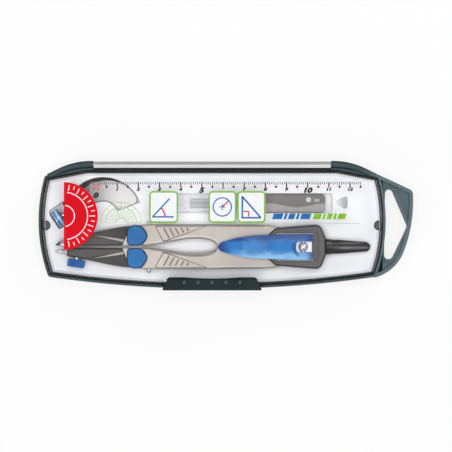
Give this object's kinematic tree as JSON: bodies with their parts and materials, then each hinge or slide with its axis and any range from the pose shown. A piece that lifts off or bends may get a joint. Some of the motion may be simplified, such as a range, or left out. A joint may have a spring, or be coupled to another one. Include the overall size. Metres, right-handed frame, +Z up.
{
  "type": "drafting instrument case",
  "caption": "Flat drafting instrument case with a clear hinged lid, flip latch and carrying handle, holding a lever compass, pen adapter and spare lead case in a white tray.",
  "frame": {"origin": "middle of the footprint on the table, at the underside of the base", "axes": "+X along the case towards the handle, +Y towards the hinge, +Z up out of the lid"},
  "size_m": [0.1785, 0.0616, 0.024],
  "materials": {
    "case_dark": "satin",
    "tray_white": "satin",
    "stud_dark": "satin",
    "lid_clear": "clear",
    "steel": "bright",
    "label_red": "printed",
    "film_print": "printed",
    "latch_dark": "matte",
    "head_grey": "satin",
    "stem_black": "gloss",
    "lever_blue": "gloss",
    "leg_beige": "satin",
    "grip_grey": "satin",
    "cap_blue": "gloss",
    "shank_grey": "satin",
    "graphite": "satin",
    "wheel_blue": "gloss",
    "adapter_dark": "satin",
    "adapter_black": "satin",
    "tube_clear": "clear",
    "cap_grey": "satin"
  },
  "bodies": {
    "base": {"base_shell": "case_dark", "tray_insert": "tray_white", "tray_studs": "stud_dark", "hinge_rod": "steel", "head_yoke": "head_grey", "handle_stem": "stem_black", "clamp_stud": "steel", "adapter_body": "adapter_dark", "lead_tube": "tube_clear", "spare_leads": "graphite"},
    "lid": {"lid": "lid_clear", "ruler_film": "film_print", "lid_label": "label_red", "latch_pin": "steel"},
    "latch": {"front_latch": "latch_dark"},
    "lead_leg": {"lead_leg": "leg_beige", "lead_leg_grip": "grip_grey", "lead_knee_pin": "steel", "lead_knee_cap": "cap_blue", "lead_knee_stop": "steel"},
    "needle_leg": {"needle_leg": "leg_beige", "needle_leg_grip": "grip_grey", "needle_knee_pin": "steel", "needle_knee_cap": "cap_blue", "needle_knee_stop": "steel"},
    "lead_shank": {"lead_shank": "shank_grey", "lead_stick": "graphite", "lead_collet": "steel"},
    "needle_shank": {"needle_shank": "shank_grey", "needle_point": "steel", "needle_sleeve": "steel"},
    "lead_wheel": {"lead_wheel": "wheel_blue", "lead_clamp_screw": "steel"},
    "needle_wheel": {"needle_wheel": "wheel_blue", "needle_clamp_screw": "steel"},
    "lever": {"lock_lever": "lever_blue", "lever_pin": "steel"},
    "adapter_knob": {"adapter_knob": "wheel_blue", "adapter_screw": "steel"},
    "adapter_jaw": {"adapter_jaw": "adapter_black"},
    "tube_cap": {"tube_cap": "cap_grey", "cap_rivet": "steel"}
  },
  "joints": [
    {"name": "lid_hinge", "type": "hinge", "parent": "base", "child": "lid", "pos_m": [-0.0065, 0.029, 0.0136], "axis": [-1, 0, 0], "range_deg": [0, 180]},
    {"name": "latch_flip", "type": "hinge", "parent": "lid", "child": "latch", "pos_m": [-0.0065, -0.026, 0.02205], "axis": [-1, 0, 0], "range_deg": [0, 50]},
    {"name": "lead_leg_swing", "type": "hinge", "parent": "base", "child": "lead_leg", "pos_m": [0.0367, -0.0102, 0.0128], "axis": [0, 0, -1], "range_deg": [0, 11]},
    {"name": "needle_leg_swing", "type": "hinge", "parent": "base", "child": "needle_leg", "pos_m": [0.0367, -0.0102, 0.0128], "axis": [0, 0, 1], "range_deg": [0, 1.4]},
    {"name": "lead_knee", "type": "hinge", "parent": "lead_leg", "child": "lead_shank", "pos_m": [-0.0424, -0.0048, 0.0128], "axis": [0, 0, 1], "range_deg": [-30, 0]},
    {"name": "needle_knee", "type": "hinge", "parent": "needle_leg", "child": "needle_shank", "pos_m": [-0.0424, -0.0156, 0.0128], "axis": [0, 0, -1], "range_deg": [-3.5, 0]},
    {"name": "lead_wheel_turn", "type": "hinge", "parent": "lead_shank", "child": "lead_wheel", "pos_m": [-0.0714, -0.0023, 0.0128], "axis": [-0.1392, 0.9903, 0], "continuous": true},
    {"name": "needle_wheel_turn", "type": "hinge", "parent": "needle_shank", "child": "needle_wheel", "pos_m": [-0.0714, -0.0181, 0.0128], "axis": [-0.1392, -0.9903, 0], "continuous": true},
    {"name": "lever_flip", "type": "hinge", "parent": "base", "child": "lever", "pos_m": [0.0367, -0.0102, 0.0198], "axis": [0, 1, 0], "range_deg": [0, 4]},
    {"name": "adapter_knob_turn", "type": "hinge", "parent": "base", "child": "adapter_knob", "pos_m": [-0.0802, 0.0033, 0.00695], "axis": [0.831, 0.5563, 0], "range_deg": [0, 720]},
    {"name": "adapter_jaw_slide", "type": "slide", "parent": "base", "child": "adapter_jaw", "axis": [0.831, 0.5563, 0], "range_m": [0, 0.0014]},
    {"name": "tube_cap_slide", "type": "slide", "parent": "base", "child": "tube_cap", "axis": [1, 0, 0], "range_m": [0, 0.003]}
  ],
  "couplings": [
    {"joint": "adapter_knob_turn", "follows": "adapter_jaw_slide", "rad_per_m": 8975.9}
  ]
}
